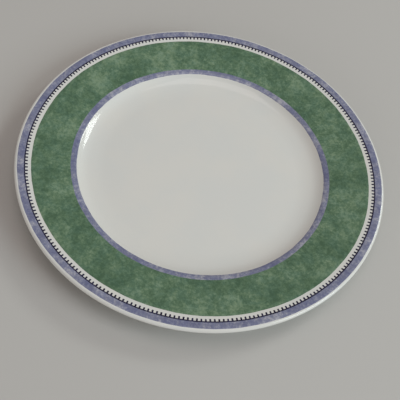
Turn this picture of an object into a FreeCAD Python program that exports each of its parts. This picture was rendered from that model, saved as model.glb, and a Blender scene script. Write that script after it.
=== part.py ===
"""China dinner plate: a fired porcelain plate, its two coats of glaze and four printed enamel rings.

The plate stands on its foot ring at z = 0 with its axis on Z. Every section is drawn in the XZ
plane and turned about Z. The glaze and the enamel are coats of an even thickness grown from the
fired plate, so they lie on it whatever its sizes are.
"""
import FreeCAD, Part
import os

import Sketcher

SIZES = {
    "overall_diameter": 270.0,
    "overall_height": 19.7,
    "glaze_thickness": 0.2,
    "enamel_thickness": 0.1,
    # The fired plate's face, from the middle of the well out to the lip.
    "floor_thickness": 5.3,
    "verge_radius": 92.5,
    "verge_rounding": 2.5,
    "well_depth": 5.1,
    "wall_run": 21.5,
    "well_curve_radius": 69.0,
    "cavetto_radius": 18.0,
    "shoulder_width": 5.5,
    "shoulder_radius": 45.0,
    "lip_rounding": 1.7,
    # Its underside and foot ring.
    "cavetto_wall": 4.0,
    "under_verge_rounding": 8.0,
    "foot_inset": 13.5,
    "foot_height": 3.2,
    "foot_face_width": 1.2,
    "foot_edge_rounding": 0.8,
    "foot_outer_root": 2.0,
    "foot_inner_root": 1.2,
    "foot_taper": 14.0,
    "bare_foot_height": 1.2,
    # The printed rings, from the lip inwards.
    "bare_lip_width": 2.0,
    "outer_lilac_width": 4.7,
    "navy_line_width": 0.9,
    "tooth_length": 1.8,
    "tooth_width": 1.15,
    "tooth_tip_radius": 0.8,
    "tooth_count": 276,
    "white_gap_width": 2.1,
    "inner_lilac_width": 4.2,
    "inner_lilac_lap": 1.2,
}

# Places that several pieces share, each a formula of the sizes.
FLOOR_TOP = "foot_height + floor_thickness"
VERGE_HEIGHT = FLOOR_TOP + " + well_depth - verge_rounding"
FOOT_RADIUS = "verge_radius - foot_inset"
LIP_RADIUS = "overall_diameter / 2 - glaze_thickness - lip_rounding"
LIP_HEIGHT = "overall_height - enamel_thickness - glaze_thickness - lip_rounding"
ABOVE_PLATE = "overall_height + foot_height"

# The radii where one printed ring ends and the next begins.
LILAC_OUTSIDE = "overall_diameter / 2 - bare_lip_width"
NAVY_OUTSIDE = LILAC_OUTSIDE + " - outer_lilac_width"
NAVY_INSIDE = NAVY_OUTSIDE + " - navy_line_width"
TOOTH_TIPS = NAVY_INSIDE + " - tooth_length"
GREEN_OUTSIDE = TOOTH_TIPS + " - white_gap_width"
LILAC_INSIDE = "verge_radius - inner_lilac_lap"
GREEN_INSIDE = LILAC_INSIDE + " + inner_lilac_width"

# A sketch's names for the points of an edge, and its number for the line along X through its origin.
START, END, CENTRE = 1, 2, 3
X_AXIS = -1

document = FreeCAD.newDocument("dinner_plate")
sheet = document.addObject("Spreadsheet::Sheet", "sizes")
for row, (size_name, size) in enumerate(SIZES.items(), start=1):
    sheet.set("A%d" % row, size_name)
    sheet.set("B%d" % row, str(size))
    sheet.setAlias("B%d" % row, size_name)
document.recompute()


def cells(formula):
    """The formula with each size's name turned into its cell of the sheet."""
    words = formula.split()
    return " ".join("sizes." + word if word in SIZES else word for word in words)


def value(formula):
    """The formula worked out, for a sketch's first lines, which its constraints then settle."""
    return float(sheet.evalExpression(cells(formula)))


def spot(x, y):
    return FreeCAD.Vector(x, y, 0)


def origin_feature(body, role):
    """One of the body's own planes or axes."""
    return [feature for feature in body.Origin.OriginFeatures if feature.Role == role][0]


def new_body(name):
    return document.addObject("PartDesign::Body", name)


def new_sketch(body, name, role):
    sketch = body.newObject("Sketcher::SketchObject", name)
    sketch.AttachmentSupport = (origin_feature(body, role), [""])
    sketch.MapMode = "FlatFace"
    return sketch


def drive(sketch, kind, places, formula):
    """Adds a dimension that follows a formula of the sizes."""
    number = sketch.addConstraint(Sketcher.Constraint(kind, *places, value(formula)))
    sketch.setExpression("Constraints[%d]" % number, cells(formula))


def drive_place(sketch, edge, end, across, up):
    """Puts one point of an edge at a place of its own, by formulas of the sizes."""
    drive(sketch, "DistanceX", (edge, end), across)
    drive(sketch, "DistanceY", (edge, end), up)


def drive_angle(sketch, edge, formula):
    """Sets a line's direction in degrees from the X axis."""
    direction = FreeCAD.Units.Quantity(value(formula), FreeCAD.Units.Angle)
    number = sketch.addConstraint(Sketcher.Constraint("Angle", edge, direction.getValueAs("rad").Value))
    sketch.setExpression("Constraints[%d]" % number, cells(formula))


class Outline:
    """A closed outline, drawn edge after edge from where the last one ended.

    The points that it is given only have to be near: the constraints put each edge in its place.
    """

    def __init__(self, sketch, start):
        self.sketch = sketch
        self.pen = spot(*start)
        self.edges = []

    def add(self, curve, end):
        edge = self.sketch.addGeometry(curve, False)
        drawn_forwards = self.sketch.getPoint(edge, START).isEqual(self.pen, 1e-6)
        ends = (START, END) if drawn_forwards else (END, START)
        self.edges.append((edge, *ends))
        self.pen = end
        return edge

    def line(self, x, y):
        end = spot(x, y)
        return self.add(Part.LineSegment(self.pen, end), end)

    def arc(self, x, y, radius, side):
        """An arc of a driven radius that bulges to its right (side 1) or to its left (side -1)."""
        end = spot(x, y)
        chord = end - self.pen
        middle = (self.pen + end) * 0.5
        outwards = spot(chord.y, -chord.x).normalize()
        flat_part = max(value(radius) ** 2 - (chord.Length / 2) ** 2, 0) ** 0.5
        bulge = value(radius) - flat_part
        edge = self.add(Part.Arc(self.pen, middle + outwards * (side * bulge), end), end)
        drive(self.sketch, "Radius", (edge,), radius)
        return edge

    def close(self, corners):
        """Joins each edge to the next, in a corner where it is in corners, else in one smooth line."""
        for (edge, _, last), (following, first, _) in zip(self.edges, self.edges[1:] + self.edges[:1]):
            joint = "Coincident" if edge in corners else "Tangent"
            self.sketch.addConstraint(Sketcher.Constraint(joint, edge, last, following, first))


def turn(body, sketch, name):
    """Turns a section once around the plate's axis."""
    revolution = body.newObject("PartDesign::Revolution", name)
    revolution.Profile = sketch
    revolution.ReferenceAxis = (origin_feature(body, "Z_Axis"), [""])
    revolution.Angle = 360
    return body


def pad(body, sketch, name, length):
    feature = body.newObject("PartDesign::Pad", name)
    feature.Profile = sketch
    feature.setExpression("Length", cells(length))
    return feature


def make_fired_plate():
    """The porcelain: floor, cavetto, rim and lip in one wall, on a tapered foot ring."""
    body = new_body("plate_body")
    sketch = new_sketch(body, "plate_section", "XZ_Plane")

    floor = value(FLOOR_TOP)
    foot = value(FOOT_RADIUS)
    recess = value("foot_height")
    verge = value("verge_radius")
    verge_top = value(FLOOR_TOP + " + well_depth")
    lip = value("lip_rounding")
    lip_radius = value(LIP_RADIUS)
    lip_height = value(LIP_HEIGHT)
    flat = value("foot_face_width") / 2
    shoulder = value("shoulder_width")
    # How steeply the rim climbs from the verge to the lip.
    rise = (lip_height + lip - verge_top) / (lip_radius - verge)

    outline = Outline(sketch, (0, floor))
    # The face, from the axis outwards.
    floor_line = outline.line(value("verge_radius - wall_run"), floor)
    well_curve = outline.arc(verge - 9.5, floor + 1, "well_curve_radius", 1)
    cavetto = outline.arc(verge - 1.5, verge_top - 0.5, "cavetto_radius", 1)
    verge_arc = outline.arc(verge - 0.4, verge_top, "verge_rounding", -1)
    outline.arc(verge + shoulder, verge_top + 0.4 + shoulder * rise, "shoulder_radius", -1)
    rim = outline.line(lip_radius - lip * rise, lip_height + lip)
    lip_arc = outline.arc(lip_radius + lip * rise, lip_height - lip, "lip_rounding", -1)
    # The underside, from the lip inwards.
    under_rim = outline.line(verge + 5, verge_top - 1.5)
    outline.arc(verge + 1.3, verge_top - 3.2, "under_verge_rounding", 1)
    under_cavetto = outline.arc(foot + 5, floor - 2.7, "cavetto_radius + cavetto_wall", -1)
    outline.arc(foot + 3, floor - 4.2, "foot_outer_root", 1)
    outer_flank = outline.line(foot + 1.6, 0.6)
    outline.arc(foot + flat, 0, "foot_edge_rounding", -1)
    foot_face = outline.line(foot - flat, 0)
    outline.arc(foot - 1.6, 0.6, "foot_edge_rounding", -1)
    inner_flank = outline.line(foot - 2, recess - 1)
    outline.arc(foot - 3, recess, "foot_inner_root", 1)
    ceiling = outline.line(0, recess)
    axis = outline.line(0, floor)
    outline.close(corners=(ceiling, axis))

    for line in (floor_line, foot_face, ceiling):
        sketch.addConstraint(Sketcher.Constraint("Horizontal", line))
    sketch.addConstraint(Sketcher.Constraint("Parallel", rim, under_rim))
    sketch.addConstraint(Sketcher.Constraint("Coincident", under_cavetto, CENTRE, cavetto, CENTRE))
    drive_place(sketch, floor_line, START, "0", FLOOR_TOP)
    drive_place(sketch, ceiling, END, "0", "foot_height")
    drive(sketch, "DistanceX", (well_curve, CENTRE), "verge_radius - wall_run")
    drive_place(sketch, verge_arc, CENTRE, "verge_radius", VERGE_HEIGHT)
    drive(sketch, "DistanceX", (rim, START), "verge_radius + shoulder_width")
    drive_place(sketch, lip_arc, CENTRE, LIP_RADIUS, LIP_HEIGHT)
    drive_place(sketch, foot_face, START, FOOT_RADIUS + " + foot_face_width / 2", "0")
    drive(sketch, "DistanceX", (foot_face, END), FOOT_RADIUS + " - foot_face_width / 2")
    drive_angle(sketch, outer_flank, "-90 - foot_taper")
    drive_angle(sketch, inner_flank, "90 + foot_taper")
    return turn(body, sketch, "turned_plate")


def grow(name, source, thickness):
    """The source solid grown outwards all over by an even thickness."""
    form = document.addObject("Part::Offset", name)
    form.Source = source
    form.setExpression("Value", cells(thickness))
    form.Mode = "Skin"
    form.Join = "Arc"
    return form


def cut(name, base, tool):
    result = document.addObject("Part::Cut", name)
    result.Base = base
    result.Tool = tool
    return result


def common(name, base, tool):
    result = document.addObject("Part::Common", name)
    result.Base = base
    result.Tool = tool
    return result


def cylinder(name, radius, height, base_height):
    """An upright cylinder on the plate's axis."""
    shape = document.addObject("Part::Cylinder", name)
    shape.setExpression("Radius", cells(radius))
    shape.setExpression("Height", cells(height))
    shape.setExpression("Placement.Base.z", cells(base_height))
    return shape


def make_glazes(plate, glazed_form):
    """The glass coat, wiped off the foot's standing face, so that it lies in two pieces."""
    glaze_coat = cut("glaze_coat", glazed_form, plate)
    wiped_zone = cylinder("wiped_zone", "overall_diameter / 2", "2 * bare_foot_height", "- bare_foot_height")
    wiped_coat = cut("wiped_coat", glaze_coat, wiped_zone)
    recess_core = cylinder("recess_core", FOOT_RADIUS, "foot_height + floor_thickness / 2", "0")
    return {
        "face_glaze": cut("face_glaze", wiped_coat, recess_core),
        "base_glaze": common("base_glaze", wiped_coat, recess_core),
    }


def make_face_enamel(glazed_form, enamelled_form):
    """The enamel's thickness all over the face: what lies above the middle of the rim's wall."""
    enamel_coat = cut("enamel_coat", enamelled_form, glazed_form)
    body = new_body("face_side")
    sketch = new_sketch(body, "face_side_section", "XZ_Plane")
    corners = (
        ("cavetto_radius", VERGE_HEIGHT),
        ("verge_radius", VERGE_HEIGHT),
        (LIP_RADIUS, LIP_HEIGHT),
        ("overall_diameter / 2", LIP_HEIGHT),
        ("overall_diameter / 2", ABOVE_PLATE),
        ("cavetto_radius", ABOVE_PLATE),
    )
    outline = Outline(sketch, [value(place) for place in corners[0]])
    lines = [outline.line(value(across), value(up)) for across, up in corners[1:] + corners[:1]]
    outline.close(corners=lines)
    for line, (across, up) in zip(lines, corners):
        drive_place(sketch, line, START, across, up)
    turn(body, sketch, "turned_face_side")
    return common("face_enamel", enamel_coat, body)


def make_stencil(name, inside, outside):
    """A tall ring between two radii, which cuts one printed ring out of the enamel."""
    body = new_body(name + "_stencil")
    sketch = new_sketch(body, name + "_circles", "XY_Plane")
    for radius in (inside, outside):
        circle = sketch.addGeometry(Part.Circle(spot(0, 0), FreeCAD.Vector(0, 0, 1), value(radius)), False)
        sketch.addConstraint(Sketcher.Constraint("Coincident", circle, CENTRE, X_AXIS, START))
        drive(sketch, "Radius", (circle,), radius)
    body.Tip = pad(body, sketch, name + "_ring", ABOVE_PLATE)
    return body


def add_teeth(body):
    """The border's teeth: one on the X axis, with a rounded tip, then all round the ring."""
    sketch = new_sketch(body, "tooth_outline", "XY_Plane")
    root = value(NAVY_INSIDE) + value("navy_line_width") / 2
    tip = value(TOOTH_TIPS)
    half = value("tooth_width") / 2

    outline = Outline(sketch, (root, -half))
    back = outline.line(root, half)
    left_side = outline.line(tip + 0.2, half)
    tip_arc = outline.arc(tip + 0.2, -half, "tooth_tip_radius", 1)
    right_side = outline.line(root, -half)
    outline.close(corners=(back, left_side, tip_arc, right_side))

    sketch.addConstraint(Sketcher.Constraint("Horizontal", left_side))
    sketch.addConstraint(Sketcher.Constraint("Horizontal", right_side))
    sketch.addConstraint(Sketcher.Constraint("Symmetric", back, START, back, END, X_AXIS))
    sketch.addConstraint(Sketcher.Constraint("PointOnObject", tip_arc, CENTRE, X_AXIS))
    drive(sketch, "DistanceY", (back, START, back, END), "tooth_width")
    drive(sketch, "DistanceX", (back, START), NAVY_INSIDE + " + navy_line_width / 2")
    drive(sketch, "DistanceX", (tip_arc, CENTRE), TOOTH_TIPS + " + tooth_tip_radius")
    tooth = pad(body, sketch, "tooth", ABOVE_PLATE)
    document.recompute()

    teeth = body.newObject("PartDesign::PolarPattern", "teeth")
    teeth.Originals = [tooth]
    teeth.Axis = (origin_feature(body, "Z_Axis"), [""])
    teeth.Angle = 360
    teeth.setExpression("Occurrences", "sizes.tooth_count")
    teeth.Refine = False
    body.Tip = teeth


plate_body = make_fired_plate()
glazed_form = grow("glazed_form", plate_body, "glaze_thickness")
enamelled_form = grow("enamelled_form", plate_body, "glaze_thickness + enamel_thickness")
pieces = {"plate_body": plate_body}
pieces.update(make_glazes(plate_body, glazed_form))

face_enamel = make_face_enamel(glazed_form, enamelled_form)
for ring, inside, outside in (
    ("outer_lilac_band", NAVY_OUTSIDE, LILAC_OUTSIDE),
    ("navy_dentil_border", NAVY_INSIDE, NAVY_OUTSIDE),
    ("green_band", GREEN_INSIDE, GREEN_OUTSIDE),
    ("inner_lilac_band", LILAC_INSIDE, GREEN_INSIDE),
):
    stencil = make_stencil(ring, inside, outside)
    if ring == "navy_dentil_border":
        add_teeth(stencil)
    pieces[ring] = common(ring, face_enamel, stencil)

document.recompute()

for item in document.Objects:
    if "Invalid" in item.State or "Error" in item.State:
        raise RuntimeError("%s failed: %s" % (item.Name, item.State))
for node, piece in pieces.items():
    piece.Label = node
    if piece.Shape.isNull() or not piece.Shape.isValid() or len(piece.Shape.Solids) != 1:
        raise RuntimeError("%s isn't one sound solid" % node)

os.makedirs("parts", exist_ok=True)
for piece in pieces.values():
    piece.Shape.exportStep(os.path.join("parts", piece.Label + ".step"))
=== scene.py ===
import bisect
import math
import random

import bmesh
import bpy
from mathutils import Matrix, Vector


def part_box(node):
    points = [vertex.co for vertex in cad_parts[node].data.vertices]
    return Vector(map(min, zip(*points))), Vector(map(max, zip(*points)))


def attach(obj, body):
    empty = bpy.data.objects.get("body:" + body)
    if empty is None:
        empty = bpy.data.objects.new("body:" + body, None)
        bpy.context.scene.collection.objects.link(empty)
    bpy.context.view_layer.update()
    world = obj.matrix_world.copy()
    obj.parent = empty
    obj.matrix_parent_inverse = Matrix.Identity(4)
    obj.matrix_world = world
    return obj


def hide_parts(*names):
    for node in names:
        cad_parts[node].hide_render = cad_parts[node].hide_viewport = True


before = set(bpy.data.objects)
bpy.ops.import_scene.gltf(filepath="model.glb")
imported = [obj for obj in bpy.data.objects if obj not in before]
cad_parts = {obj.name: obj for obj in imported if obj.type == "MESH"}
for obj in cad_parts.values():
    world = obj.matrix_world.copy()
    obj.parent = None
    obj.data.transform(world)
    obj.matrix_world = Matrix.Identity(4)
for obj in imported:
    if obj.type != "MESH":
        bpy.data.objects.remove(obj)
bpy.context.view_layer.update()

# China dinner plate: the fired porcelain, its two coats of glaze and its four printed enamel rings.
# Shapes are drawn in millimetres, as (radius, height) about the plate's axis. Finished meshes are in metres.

MM = 0.001


def outer_radius(node):
    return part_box(node)[1].x / MM


def lowest(node):
    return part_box(node)[0].z / MM


# ---------------------------------------------------------------- sizes, in millimetres and degrees

GLAZE = 0.2
ENAMEL = 0.1
PLATE_RADIUS = outer_radius("face_glaze")
BARE_FOOT_HEIGHT = lowest("face_glaze")

FLOOR_TOP = 8.5
FLOOR_EDGE = 71.0
WELL_CURVE = 69.0
CAVETTO_CURVE = 18.0
VERGE_ROUNDING = 2.5
SHOULDER_CURVE = 45.0
LIP_ROUNDING = 1.7
UNDER_RIM_LENGTH = 36.814
UNDER_VERGE_CURVE = 8.0
UNDER_CAVETTO_CURVE = 22.0
FOOT_RADIUS = 79.0
FOOT_OUTER_ROOT = 2.0
FOOT_OUTER_SIDE = 3.487
FOOT_EDGE_ROUNDING = 0.8
FOOT_FACE = 1.2
FOOT_INNER_SIDE = 1.735
FOOT_INNER_ROOT = 1.2
FOOT_TAPER = 14.0

# The slope, in degrees, at which each curve of the section hands over to the next.
WELL_SLOPE = 10.072
CAVETTO_SLOPE = 37.857
VERGE_SLOPE = 15.565
RIM_SLOPE = 7.539
UNDER_VERGE_SLOPE = 36.769
UNDER_CAVETTO_SLOPE = 7.760

LILAC_OUTSIDE = outer_radius("outer_lilac_band")
NAVY_OUTSIDE = outer_radius("navy_dentil_border")
GREEN_OUTSIDE = outer_radius("green_band")
GREEN_INSIDE = outer_radius("inner_lilac_band")
NAVY_LINE_WIDTH = 0.9
NAVY_INSIDE = NAVY_OUTSIDE - NAVY_LINE_WIDTH
INNER_LILAC_WIDTH = 4.2
LILAC_INSIDE = GREEN_INSIDE - INNER_LILAC_WIDTH

TOOTH_COUNT = 276
TOOTH_LENGTH = 1.8
TOOTH_WIDTH = 1.15
TOOTH_TIP_RADIUS = 0.8

# How unlike one another the teeth are: shorter by, wider by a share, and leaning by.
TOOTH_SHORTER = (-0.16, 0.10)
TOOTH_WIDER = (0.88, 1.12)
TOOTH_LEAN = (-0.10, 0.10)

# A printed ring's thinned edge, and the widest gap between the rows of its mesh.
THIN_EDGE = 0.18
ROW_GAP = 2.0

# How far the wiped edge of the glaze climbs the foot, and over what height that fades out.
WIPE_RISE = 0.22
WIPE_FADE = 0.9

# How close points are before they are welded.
TURN_WELD = 1e-4
TOOTH_WELD = 1e-3

TURN_STEPS = 240
RING_STEPS = 1104
SHARP_ANGLE = math.radians(35.0)


# ------------------------------------------------------------------------------- the plate's section

class Walk:
    """A section walked clockwise round the body, a lift outside its fired surface."""

    LONGEST_RUN = 4.0
    LONGEST_CURVE = 2.0
    WIDEST_TURN = math.radians(10.0)

    def __init__(self, lift, height):
        self.lift = lift
        self.heading = 0.0
        self.points = [(0.0, height + lift)]

    def run(self, length):
        """Straight on."""
        steps = max(1, math.ceil(length / self.LONGEST_RUN))
        radius, height = self.points[-1]
        for step in range(1, steps + 1):
            reach = length * step / steps
            across = radius + reach * math.cos(self.heading)
            self.points.append((across, height + reach * math.sin(self.heading)))

    def run_to(self, radius):
        """Straight on to a radius."""
        self.run((radius - self.points[-1][0]) / math.cos(self.heading))

    def bend(self, rounding, slope):
        """Round a curve of the fired surface's rounding, to a new heading in degrees."""
        turn = math.radians(slope) - self.heading
        side = math.copysign(1.0, turn)
        reach = rounding - side * self.lift
        by_turn = math.ceil(abs(turn) / self.WIDEST_TURN)
        by_length = math.ceil(abs(turn) * reach / self.LONGEST_CURVE)
        steps = max(2, by_turn, by_length)
        radius, height = self.points[-1]
        centre_radius = radius - side * reach * math.sin(self.heading)
        centre_height = height + side * reach * math.cos(self.heading)
        for step in range(1, steps + 1):
            way = self.heading + turn * step / steps
            across = centre_radius + side * reach * math.sin(way)
            self.points.append((across, centre_height - side * reach * math.cos(way)))
        self.heading += turn


def walk_face(lift):
    """From the axis across the well, up its wall and along the rim to where the lip starts to round."""
    walk = Walk(lift, FLOOR_TOP)
    walk.run_to(FLOOR_EDGE)
    walk.bend(WELL_CURVE, WELL_SLOPE)
    walk.bend(CAVETTO_CURVE, CAVETTO_SLOPE)
    walk.bend(VERGE_ROUNDING, VERGE_SLOPE)
    walk.bend(SHOULDER_CURVE, RIM_SLOPE)
    lip_centre = PLATE_RADIUS - GLAZE - LIP_ROUNDING
    walk.run_to(lip_centre - (LIP_ROUNDING + lift) * math.sin(math.radians(RIM_SLOPE)))
    return walk


def walk_round(lift):
    """The whole outline: the face, the lip, the underside, the foot ring and its recess."""
    walk = walk_face(lift)
    walk.bend(LIP_ROUNDING, RIM_SLOPE - 180.0)
    walk.run(UNDER_RIM_LENGTH)
    walk.bend(UNDER_VERGE_CURVE, UNDER_VERGE_SLOPE - 180.0)
    walk.bend(UNDER_CAVETTO_CURVE, UNDER_CAVETTO_SLOPE - 180.0)
    walk.bend(FOOT_OUTER_ROOT, -90.0 - FOOT_TAPER)
    walk.run(FOOT_OUTER_SIDE)
    walk.bend(FOOT_EDGE_ROUNDING, -180.0)
    walk.run(FOOT_FACE)
    walk.bend(FOOT_EDGE_ROUNDING, -270.0 + FOOT_TAPER)
    walk.run(FOOT_INNER_SIDE)
    walk.bend(FOOT_INNER_ROOT, -180.0)
    walk.run(walk.points[-1][0])
    walk.points[-1] = (0.0, walk.points[-1][1])
    return walk.points


def above_wiped_line(points):
    """The part of an outline, from its start, that lies above the line where the glaze is wiped off."""
    end = next(index for index, point in enumerate(points) if point[1] < BARE_FOOT_HEIGHT)
    (radius, height), (next_radius, next_height) = points[end - 1], points[end]
    share = (height - BARE_FOOT_HEIGHT) / (height - next_height)
    return points[:end] + [(radius + share * (next_radius - radius), BARE_FOOT_HEIGHT)]


def printable_face(lift):
    """The face's outline and the first points round the lip, where the outer ring can reach."""
    lip_points = 6
    return walk_round(lift)[:len(walk_face(lift).points) + lip_points]


FACE_POINTS = {lift: printable_face(lift) for lift in (GLAZE, GLAZE + ENAMEL / 2, GLAZE + ENAMEL)}


def face_height(radius, lift):
    """The height of the face at a radius, a lift outside the fired surface."""
    points = FACE_POINTS[lift]
    after = min(max(bisect.bisect_left(points, (radius,)), 1), len(points) - 1)
    (near, low), (far, high) = points[after - 1], points[after]
    return low + (high - low) * (radius - near) / (far - near)


# ----------------------------------------------------------------------------------- making meshes

def spun(points, steps):
    """A bmesh of an outline turned once about the plate's axis."""
    mesh = bmesh.new()
    verts = [mesh.verts.new((radius, 0.0, height)) for radius, height in points]
    edges = [mesh.edges.new(pair) for pair in zip(verts, verts[1:])]
    bmesh.ops.spin(
        mesh, geom=verts + edges, cent=(0, 0, 0), axis=(0, 0, 1),
        angle=math.tau, steps=steps, use_merge=True
    )
    bmesh.ops.remove_doubles(mesh, verts=mesh.verts, dist=TURN_WELD)
    bmesh.ops.recalc_face_normals(mesh, faces=mesh.faces)
    return mesh


def finished(mesh, name, node, material):
    """Turns a bmesh in millimetres into the piece that stands for a CAD node."""
    for edge in mesh.edges:
        edge.smooth = edge.calc_face_angle(0.0) < SHARP_ANGLE
    for face in mesh.faces:
        face.smooth = True
    bmesh.ops.scale(mesh, vec=(MM, MM, MM), verts=mesh.verts)
    data = bpy.data.meshes.new(name)
    mesh.to_mesh(data)
    mesh.free()
    data.materials.append(material)
    piece = bpy.data.objects.new(name, data)
    bpy.context.scene.collection.objects.link(piece)
    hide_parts(node)
    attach(piece, "root")
    return piece


class Wander:
    """How far a hand-laid edge strays round the plate: off centre along X, and in seeded waves."""

    WAVES = ((5, 0.09), (11, 0.06), (23, 0.045), (47, 0.035), (89, 0.025), (151, 0.015))

    def __init__(self, seed, off_centre=0.0, share=1.0):
        draw = random.Random(seed)
        self.waves = [
            (count, share * size, draw.uniform(0.0, math.tau)) for count, size in self.WAVES]
        self.waves.append((1, off_centre, math.pi / 2))

    def at(self, angle):
        return sum(size * math.sin(count * angle + phase) for count, size, phase in self.waves)


LIP_EDGE = Wander(11, 0.25)
NAVY_EDGE = Wander(12, 0.25, 0.6)
GREEN_OUTER_EDGE = Wander(13, 0.25)
GREEN_INNER_EDGE = Wander(14, -0.35)
WELL_EDGE = Wander(15, -0.3)


def polar(vert):
    return math.hypot(vert.co.x, vert.co.y), math.atan2(vert.co.y, vert.co.x)


def move_out(vert, angle, radius):
    vert.co.x = radius * math.cos(angle)
    vert.co.y = radius * math.sin(angle)


def lay_enamel(sheet, lift_at):
    """Drapes a flat sheet on the glaze, and gives it the enamel's thickness as a closed film."""
    film = bmesh.ops.extrude_face_region(sheet, geom=sheet.faces[:], use_keep_orig=True)["geom"]
    upper = {part for part in film if isinstance(part, bmesh.types.BMVert)}
    for vert in sheet.verts:
        radius, angle = polar(vert)
        vert.co.z = face_height(radius, lift_at(radius, angle) if vert in upper else GLAZE)
    bmesh.ops.recalc_face_normals(sheet, faces=sheet.faces)
    return sheet


def enamel_ring(inside, outside, inner_wander, outer_wander, soft_inside, soft_outside):
    """A printed ring between two wandering edges. A soft edge thins out on to bare glaze."""
    rows = max(2, round((outside - inside) / ROW_GAP))
    radii = {inside, outside}
    radii.update(inside + (outside - inside) * row / rows for row in range(1, rows))
    radii.update({inside + THIN_EDGE, outside - THIN_EDGE})
    mesh = spun([(radius, 0.0) for radius in sorted(radii)], RING_STEPS)

    def shift(radius, angle):
        share = (radius - inside) / (outside - inside)
        return (1.0 - share) * inner_wander.at(angle) + share * outer_wander.at(angle)

    def lift_at(radius, angle):
        inner_gap = radius - inside - inner_wander.at(angle)
        outer_gap = outside + outer_wander.at(angle) - radius
        thin_inside = soft_inside and inner_gap < THIN_EDGE / 3
        thin_outside = soft_outside and outer_gap < THIN_EDGE / 3
        return GLAZE + ENAMEL / 2 if thin_inside or thin_outside else GLAZE + ENAMEL

    for vert in mesh.verts:
        radius, angle = polar(vert)
        move_out(vert, angle, radius + shift(radius, angle))
    return lay_enamel(mesh, lift_at)


def navy_border():
    """The navy line with its teeth: one tooth's share of it, repeated all round and welded."""
    pitch = math.tau / TOOTH_COUNT
    half_tooth = TOOTH_WIDTH / 2 / NAVY_INSIDE
    tooth_angles = [half_tooth * share for share in (-1.0, -0.5, 0.0, 0.5, 1.0)]
    angles = [-pitch / 2] + tooth_angles + [pitch / 2]
    tips = NAVY_INSIDE - TOOTH_LENGTH

    mesh = bmesh.new()
    outer = [
        mesh.verts.new((NAVY_OUTSIDE * math.cos(angle), NAVY_OUTSIDE * math.sin(angle), 0.0))
        for angle in angles
    ]
    edges = [mesh.edges.new(pair) for pair in zip(outer, outer[1:])]
    line = bmesh.ops.extrude_edge_only(mesh, edges=edges)["geom"]
    line_verts = [part for part in line if isinstance(part, bmesh.types.BMVert)]
    for vert in line_verts:
        move_out(vert, polar(vert)[1], NAVY_INSIDE)
    tooth_roots = [
        part for part in line
        if isinstance(part, bmesh.types.BMEdge) and all(
            vert in line_verts and abs(polar(vert)[1]) < half_tooth * 1.01 for vert in part.verts)
    ]
    tooth = bmesh.ops.extrude_edge_only(mesh, edges=tooth_roots)["geom"]
    for vert in [part for part in tooth if isinstance(part, bmesh.types.BMVert)]:
        angle = polar(vert)[1]
        aside = TOOTH_WIDTH / 2 * angle / half_tooth
        rounding = TOOTH_TIP_RADIUS - math.sqrt(TOOTH_TIP_RADIUS ** 2 - aside ** 2)
        move_out(vert, aside / tips, tips + rounding)

    bmesh.ops.spin(
        mesh, geom=mesh.verts[:] + mesh.edges[:] + mesh.faces[:], cent=(0, 0, 0), axis=(0, 0, 1),
        angle=math.tau - pitch, steps=TOOTH_COUNT - 1, use_duplicate=True
    )
    bmesh.ops.remove_doubles(mesh, verts=mesh.verts, dist=TOOTH_WELD)
    bmesh.ops.recalc_face_normals(mesh, faces=mesh.faces)

    draw = random.Random(21)
    uneven = [(draw.uniform(*TOOTH_SHORTER), draw.uniform(*TOOTH_WIDER), draw.uniform(*TOOTH_LEAN))
              for tooth in range(TOOTH_COUNT)]
    for vert in mesh.verts:
        radius, angle = polar(vert)
        wander = NAVY_EDGE.at(angle)
        if radius < NAVY_INSIDE - 0.1:
            index = round(angle / pitch)
            shorter, wider, lean = uneven[index % TOOTH_COUNT]
            middle = index * pitch
            angle = middle + (angle - middle) * wider + lean / radius
            radius -= shorter
        move_out(vert, angle, radius + wander)
    return lay_enamel(mesh, lambda radius, angle: GLAZE + ENAMEL)


# ----------------------------------------------------------------------------------------- finishes

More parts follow.
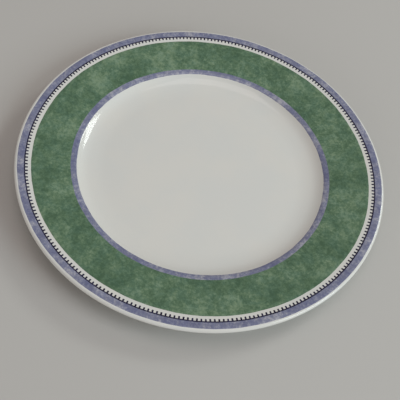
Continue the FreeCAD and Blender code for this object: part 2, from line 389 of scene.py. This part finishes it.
class Wiring:
    """Short calls that place nodes in a tree and join them."""

    def __init__(self, tree):
        self.tree = tree

    def node(self, kind, inputs=(), **settings):
        node = self.tree.nodes.new(kind)
        for name, setting in settings.items():
            setattr(node, name, setting)
        for name, given in dict(inputs).items():
            self.feed(node.inputs[name], given)
        return node

    def feed(self, socket, given):
        if isinstance(given, bpy.types.NodeSocket):
            self.tree.links.new(given, socket)
        else:
            socket.default_value = given

    def maths(self, operation, first, second=0.0, third=0.0):
        node = self.node("ShaderNodeMath", operation=operation)
        for socket, given in zip(node.inputs, (first, second, third)):
            self.feed(socket, given)
        return node.outputs[0]

    def vector_maths(self, operation, first, second=None, scale=None):
        node = self.node("ShaderNodeVectorMath", operation=operation)
        self.feed(node.inputs[0], first)
        if second is not None:
            self.feed(node.inputs[1], second)
        if scale is not None:
            self.feed(node.inputs["Scale"], scale)
        return node.outputs["Value" if operation == "LENGTH" else "Vector"]

    def noise(self, vector, grain, detail=2.0, roughness=0.5, distortion=0.0):
        """Noise from 0 to 1 whose features are about a grain across."""
        scale = self.maths("DIVIDE", 1.0, grain)
        node = self.node("ShaderNodeTexNoise", {
            "Vector": vector, "Scale": scale, "Detail": detail, "Roughness": roughness,
            "Distortion": distortion,
        })
        return node.outputs["Fac"]

    def ease(self, given, low, high, to_low=0.0, to_high=1.0):
        """A soft step from one value to another as the input goes from low to high."""
        node = self.node("ShaderNodeMapRange", {
            "Value": given, "From Min": low, "From Max": high, "To Min": to_low, "To Max": to_high,
        }, interpolation_type="SMOOTHSTEP")
        return node.outputs["Result"]

    def mixed(self, factor, first, second):
        node = self.node("ShaderNodeMix", data_type="RGBA")
        self.feed(node.inputs[0], factor)
        self.feed(node.inputs[6], first)
        self.feed(node.inputs[7], second)
        return node.outputs[2]

    def multiplied(self, first, second):
        node = self.node("ShaderNodeMix", data_type="RGBA", blend_type="MULTIPLY")
        self.feed(node.inputs[0], 1.0)
        self.feed(node.inputs[6], first)
        self.feed(node.inputs[7], second)
        return node.outputs[2]


def new_group(name, inputs, outputs):
    """A shader node group with named sockets, and the wiring, inputs and outputs to fill it with."""
    group = bpy.data.node_groups.new(name, "ShaderNodeTree")
    for socket_name, kind, setting in inputs:
        socket = group.interface.new_socket(socket_name, in_out="INPUT", socket_type=kind)
        if setting is not None:
            socket.default_value = setting
    for socket_name, kind in outputs:
        group.interface.new_socket(socket_name, in_out="OUTPUT", socket_type=kind)
    wiring = Wiring(group)
    source = wiring.node("NodeGroupInput")
    sink = wiring.node("NodeGroupOutput")
    return group, wiring, source.outputs, sink.inputs


FLOAT, COLOUR, VECTOR = "NodeSocketFloat", "NodeSocketColor", "NodeSocketVector"


def make_round_the_ring():
    """Seamless places that a pattern can be drawn on, stretched along the ring."""
    group, wiring, given, sink = new_group(
        "round_the_ring",
        [("Position", VECTOR, None), ("Ring Radius", FLOAT, 0.1), ("Stretch", FLOAT, 1.0)],
        [("Place", VECTOR)],
    )
    flat = wiring.vector_maths("MULTIPLY", given["Position"], (1.0, 1.0, 0.0))
    radius = wiring.vector_maths("LENGTH", flat)
    direction = wiring.vector_maths("NORMALIZE", flat)
    size = wiring.maths("DIVIDE", given["Ring Radius"], given["Stretch"])
    along = wiring.vector_maths("SCALE", direction, scale=size)
    across = wiring.node("ShaderNodeCombineXYZ", {"Z": radius}).outputs[0]
    wiring.feed(sink["Place"], wiring.vector_maths("ADD", along, across))
    return group


def make_sponged_colour():
    """Colour dabbed on with a sponge: clouds from deep to pale, grains, and cooler tints in places."""
    group, wiring, given, sink = new_group(
        "sponged_colour",
        [("Place", VECTOR, None), ("Deep", COLOUR, None), ("Middle", COLOUR, None), ("Pale", COLOUR, None),
         ("Cool Tint", COLOUR, None), ("Cloud Size", FLOAT, 0.02), ("Fleck Size", FLOAT, 0.003),
         ("Contrast", FLOAT, 2.0)],
        [("Color", COLOUR)],
    )
    place = given["Place"]
    clouds = wiring.noise(place, given["Cloud Size"], 7.0, 0.86, 0.15)
    grains = wiring.noise(place, given["Fleck Size"], 2.0, 0.6, 0.3)
    cloud_swing = wiring.maths("SUBTRACT", clouds, 0.5)
    grain_swing = wiring.maths("SUBTRACT", grains, 0.5)
    swing = wiring.maths("MULTIPLY_ADD", grain_swing, 0.35, cloud_swing)
    body = wiring.maths("MULTIPLY_ADD", swing, given["Contrast"], 0.5)
    ground = wiring.mixed(wiring.ease(body, 0.0, 0.62), given["Deep"], given["Middle"])
    washed = wiring.mixed(wiring.ease(body, 0.45, 1.05), ground, given["Pale"])
    elsewhere = wiring.vector_maths("ADD", place, (0.31, 0.17, 0.23))
    tint_size = wiring.maths("MULTIPLY", given["Cloud Size"], 0.35)
    tints = wiring.noise(elsewhere, tint_size, 4.0, 0.7, 0.4)
    cooler = wiring.multiplied(washed, given["Cool Tint"])
    wiring.feed(sink["Color"], wiring.mixed(wiring.ease(tints, 0.38, 0.66), washed, cooler))
    return group


def make_fired_gloss():
    """The surface of melted glass: a faint orange peel, rare pinholes and slightly uneven gloss."""
    group, wiring, given, sink = new_group(
        "fired_gloss",
        [("Position", VECTOR, None), ("Wave Size", FLOAT, 0.008), ("Gloss", FLOAT, 0.1),
         ("Wear", FLOAT, 0.1)],
        [("Height", FLOAT), ("Roughness", FLOAT), ("Pinholes", FLOAT)],
    )
    place = given["Position"]
    waves = wiring.noise(place, given["Wave Size"], 2.0, 0.45)
    peel = wiring.noise(place, wiring.maths("MULTIPLY", given["Wave Size"], 0.22), 2.0, 0.5)
    smudges = wiring.noise(place, 0.035, 3.0, 0.6, 0.8)
    cells = wiring.node("ShaderNodeTexVoronoi", {"Vector": place, "Scale": 90.0, "Randomness": 1.0})
    pick = wiring.node("ShaderNodeSeparateColor", {"Color": cells.outputs["Color"]}).outputs[0]
    rare = wiring.ease(pick, 0.955, 0.96)
    dot = wiring.ease(cells.outputs["Distance"], 0.006, 0.016, 1.0, 0.0)
    pinholes = wiring.maths("MULTIPLY", rare, dot)

    surface = wiring.maths("MULTIPLY_ADD", peel, 0.04, waves)
    wiring.feed(sink["Height"], wiring.maths("SUBTRACT", surface, wiring.maths("MULTIPLY", pinholes, 0.6)))
    dulling = wiring.maths("MULTIPLY", wiring.ease(smudges, 0.4, 0.72), given["Wear"])
    wiring.feed(sink["Roughness"], wiring.maths("ADD", given["Gloss"], dulling))
    wiring.feed(sink["Pinholes"], pinholes)
    return group


ROUND_THE_RING = make_round_the_ring()
SPONGED_COLOUR = make_sponged_colour()
FIRED_GLOSS = make_fired_gloss()


def new_material(name):
    """A material with its shader, and the object's own coordinates for its patterns."""
    material = bpy.data.materials.new(name)
    material.use_nodes = True
    material.node_tree.nodes.clear()
    wiring = Wiring(material.node_tree)
    shader = wiring.node("ShaderNodeBsdfPrincipled")
    wiring.node("ShaderNodeOutputMaterial", {"Surface": shader.outputs["BSDF"]})
    position = wiring.node("ShaderNodeTexCoord").outputs["Object"]
    return material, wiring, shader.inputs, position


def use_group(wiring, group, inputs):
    node = wiring.node("ShaderNodeGroup", node_tree=group)
    for name, given in inputs.items():
        wiring.feed(node.inputs[name], given)
    return node.outputs


def add_gloss(wiring, shader, position, wave_size, gloss, wear, bump):
    """Gives a shader the fired gloss. Returns the group's outputs, for a colour that uses them."""
    surface = use_group(wiring, FIRED_GLOSS, {
        "Position": position, "Wave Size": wave_size, "Gloss": gloss, "Wear": wear,
    })
    relief = wiring.node(
        "ShaderNodeBump", {"Height": surface["Height"], "Strength": 1.0, "Distance": bump})
    wiring.feed(shader["Roughness"], surface["Roughness"])
    wiring.feed(shader["Normal"], relief.outputs["Normal"])
    return surface


def make_glaze():
    """Opaque white glaze, a little warmer where it is thin and cooler where it pooled."""
    material, wiring, shader, position = new_material("white_glaze")
    surface = add_gloss(wiring, shader, position, 0.009, 0.07, 0.05, 0.000012)
    pooling = wiring.noise(position, 0.03, 3.0, 0.5)
    white = wiring.mixed(
        wiring.ease(pooling, 0.3, 0.7), (0.815, 0.812, 0.775, 1.0), (0.79, 0.80, 0.775, 1.0)
    )
    specks = wiring.maths("MULTIPLY", surface["Pinholes"], 0.55)
    wiring.feed(shader["Base Color"], wiring.mixed(specks, white, (0.30, 0.25, 0.19, 1.0)))
    shader["IOR"].default_value = 1.5
    return material


def make_bisque():
    """Unglazed porcelain: matt, finely grained, and greyed where the foot has been stood on."""
    material, wiring, shader, position = new_material("bare_porcelain")
    grain = wiring.noise(position, 0.0007, 3.0, 0.65)
    stains = wiring.noise(position, 0.012, 4.0, 0.6, 0.5)
    height = wiring.node("ShaderNodeSeparateXYZ", {"Vector": position}).outputs["Z"]
    stood_on = wiring.ease(height, 0.0, 0.0006, 1.0, 0.0)
    rubbed = wiring.maths("MULTIPLY", stood_on, wiring.ease(stains, 0.35, 0.7))
    clay = wiring.mixed(
        wiring.ease(grain, 0.3, 0.7), (0.68, 0.655, 0.60, 1.0), (0.76, 0.74, 0.69, 1.0)
    )
    dirt = wiring.maths("MULTIPLY", rubbed, 0.6)
    wiring.feed(shader["Base Color"], wiring.mixed(dirt, clay, (0.42, 0.40, 0.37, 1.0)))
    wiring.feed(shader["Roughness"], wiring.ease(rubbed, 0.0, 1.0, 0.82, 0.62))
    relief = wiring.node("ShaderNodeBump", {"Height": grain, "Strength": 0.6, "Distance": 0.00005})
    wiring.feed(shader["Normal"], relief.outputs["Normal"])
    return material


def make_sponged_enamel(name, place_inputs, colour_inputs, gloss):
    """Glossy enamel with a sponged colour."""
    material, wiring, shader, position = new_material(name)
    add_gloss(wiring, shader, position, 0.006, gloss, 0.05, 0.000008)
    place = use_group(wiring, ROUND_THE_RING, {"Position": position, **place_inputs})["Place"]
    colour = use_group(wiring, SPONGED_COLOUR, {"Place": place, **colour_inputs})
    wiring.feed(shader["Base Color"], colour["Color"])
    return material


def make_navy():
    """Dense navy enamel, thinner and bluer in places."""
    material, wiring, shader, position = new_material("navy_enamel")
    add_gloss(wiring, shader, position, 0.004, 0.12, 0.06, 0.000008)
    density = wiring.noise(position, 0.004, 4.0, 0.6)
    ink = wiring.mixed(
        wiring.ease(density, 0.42, 0.75), (0.010, 0.010, 0.038, 1.0), (0.030, 0.031, 0.095, 1.0)
    )
    wiring.feed(shader["Base Color"], ink)
    return material


ENAMEL_GLOSS = 0.11

GREEN_COLOURS = {
    "Deep": (0.071, 0.144, 0.081, 1.0),
    "Middle": (0.125, 0.219, 0.129, 1.0),
    "Pale": (0.240, 0.346, 0.219, 1.0),
    "Cool Tint": (0.93, 0.985, 1.08, 1.0),
    "Cloud Size": 0.021,
    "Fleck Size": 0.0022,
    "Contrast": 3.1,
}
LILAC_COLOURS = {
    "Deep": (0.158, 0.170, 0.290, 1.0),
    "Middle": (0.242, 0.255, 0.366, 1.0),
    "Pale": (0.48, 0.48, 0.54, 1.0),
    "Cool Tint": (0.96, 0.985, 1.05, 1.0),
    "Cloud Size": 0.017,
    "Fleck Size": 0.0022,
    "Contrast": 3.1,
}

GLAZE_FINISH = make_glaze()
BARE_FINISH = make_bisque()
NAVY_FINISH = make_navy()
GREEN_FINISH = make_sponged_enamel(
    "green_enamel", {"Ring Radius": 0.1095, "Stretch": 1.0}, GREEN_COLOURS, ENAMEL_GLOSS)
OUTER_LILAC_FINISH = make_sponged_enamel(
    "outer_lilac_enamel", {"Ring Radius": 0.1305, "Stretch": 0.85}, LILAC_COLOURS, ENAMEL_GLOSS)
INNER_LILAC_FINISH = make_sponged_enamel(
    "inner_lilac_enamel", {"Ring Radius": 0.0934, "Stretch": 1.1}, LILAC_COLOURS, ENAMEL_GLOSS)


# ------------------------------------------------------------------------------------------- pieces

def wander_wiped_line(mesh, wander):
    """Lets the glaze's wiped edge wander up the foot, where a sponge took the glaze off by hand."""
    for vert in mesh.verts:
        share = 1.0 - (vert.co.z - BARE_FOOT_HEIGHT) / WIPE_FADE
        if share > 0.0:
            radius, angle = polar(vert)
            rise = share * (WIPE_RISE + wander.at(angle))
            outwards = 1.0 if radius > FOOT_RADIUS else -1.0
            vert.co.z += rise
            move_out(vert, angle, radius + outwards * rise * math.tan(math.radians(FOOT_TAPER)))


fired = walk_round(0.0)
glazed = walk_round(GLAZE)

finished(spun(fired, TURN_STEPS), "porcelain_body", "plate_body", BARE_FINISH)

face_coat = spun(above_wiped_line(glazed) + above_wiped_line(fired)[::-1], TURN_STEPS)
wander_wiped_line(face_coat, Wander(16, share=0.5))
finished(face_coat, "face_glaze_coat", "face_glaze", GLAZE_FINISH)

base_coat = spun(above_wiped_line(glazed[::-1]) + above_wiped_line(fired[::-1])[::-1], TURN_STEPS)
wander_wiped_line(base_coat, Wander(17, share=0.5))
finished(base_coat, "base_glaze_coat", "base_glaze", GLAZE_FINISH)

finished(
    enamel_ring(NAVY_OUTSIDE, LILAC_OUTSIDE, NAVY_EDGE, LIP_EDGE, False, True),
    "outer_lilac_ring", "outer_lilac_band", OUTER_LILAC_FINISH)
finished(navy_border(), "navy_toothed_ring", "navy_dentil_border", NAVY_FINISH)
finished(
    enamel_ring(GREEN_INSIDE, GREEN_OUTSIDE, GREEN_INNER_EDGE, GREEN_OUTER_EDGE, False, True),
    "green_ring", "green_band", GREEN_FINISH)
finished(
    enamel_ring(LILAC_INSIDE, GREEN_INSIDE, WELL_EDGE, GREEN_INNER_EDGE, True, False),
    "inner_lilac_ring", "inner_lilac_band", INNER_LILAC_FINISH)


# ------------------------------------------------------------------------- floor, light and camera

def make_floor():
    """A pale, plain floor that the plate's foot stands on."""
    mesh = bmesh.new()
    bmesh.ops.create_circle(mesh, cap_ends=True, segments=96, radius=6.0)
    data = bpy.data.meshes.new("floor")
    mesh.to_mesh(data)
    mesh.free()
    floor = bpy.data.objects.new("floor", data)
    bpy.context.scene.collection.objects.link(floor)
    material, wiring, shader, position = new_material("pale_floor")
    cast = wiring.noise(position, 0.4, 2.0, 0.5)
    stone = wiring.mixed(cast, (0.56, 0.55, 0.53, 1.0), (0.60, 0.59, 0.57, 1.0))
    wiring.feed(shader["Base Color"], stone)
    shader["Roughness"].default_value = 0.85
    data.materials.append(material)


LIGHT_DISTANCE = 2.6


def towards(azimuth, elevation):
    """Where a light hangs, as seen from the plate's middle: the azimuth is from +Y towards +X."""
    level = LIGHT_DISTANCE * math.cos(math.radians(elevation))
    across = level * math.sin(math.radians(azimuth))
    away = level * math.cos(math.radians(azimuth))
    return Vector((across, away, LIGHT_DISTANCE * math.sin(math.radians(elevation))))


def pointed(thing, place, target, roll=0.0):
    turn = (target - place).to_track_quat("-Z", "Y").to_matrix().to_4x4()
    rolled = Matrix.Rotation(math.radians(roll), 4, "Z")
    thing.matrix_world = Matrix.Translation(place) @ turn @ rolled


def soft_light(name, place, width, height, power, colour):
    lamp = bpy.data.lights.new(name, "AREA")
    lamp.shape = "RECTANGLE"
    lamp.size = width
    lamp.size_y = height
    lamp.energy = power
    lamp.color = colour
    light = bpy.data.objects.new(name, lamp)
    bpy.context.scene.collection.objects.link(light)
    pointed(light, place, Vector((0.0, 0.0, 0.0)))


def make_world(colour, strength):
    world = bpy.data.worlds.new("studio")
    world.use_nodes = True
    background = world.node_tree.nodes["Background"]
    background.inputs["Color"].default_value = colour
    background.inputs["Strength"].default_value = strength
    bpy.context.scene.world = world


def make_camera():
    """Above the near side, looking down across the plate, with a slight roll."""
    tilt = math.radians(34.80)
    distance = 0.5629
    roll = 11.85
    data = bpy.data.cameras.new("camera")
    data.lens = 68.84
    data.sensor_width = 36.0
    camera = bpy.data.objects.new("camera", data)
    bpy.context.scene.collection.objects.link(camera)
    target = Vector((0.0035, -0.0210, 0.0))
    back = Vector((0.0, -math.sin(tilt), math.cos(tilt)))
    pointed(camera, target + back * distance, target, roll)
    bpy.context.scene.camera = camera


make_floor()
make_world((1.0, 0.91, 0.85, 1.0), 0.30)
soft_light("window", towards(50.0, 37.5), 0.74, 0.56, 10.5, (0.94, 1.0, 0.96))
soft_light("side_light", towards(110.0, 31.0), 1.4, 1.4, 29.0, (0.84, 0.97, 1.0))
soft_light("near_fill", towards(195.0, 20.0), 1.4, 1.0, 5.5, (0.95, 0.96, 1.0))
soft_light("ceiling", towards(0.0, 88.0), 1.4, 1.4, 7.0, (1.0, 0.90, 0.90))
make_camera()
bpy.context.scene.view_settings.view_transform = "Standard"
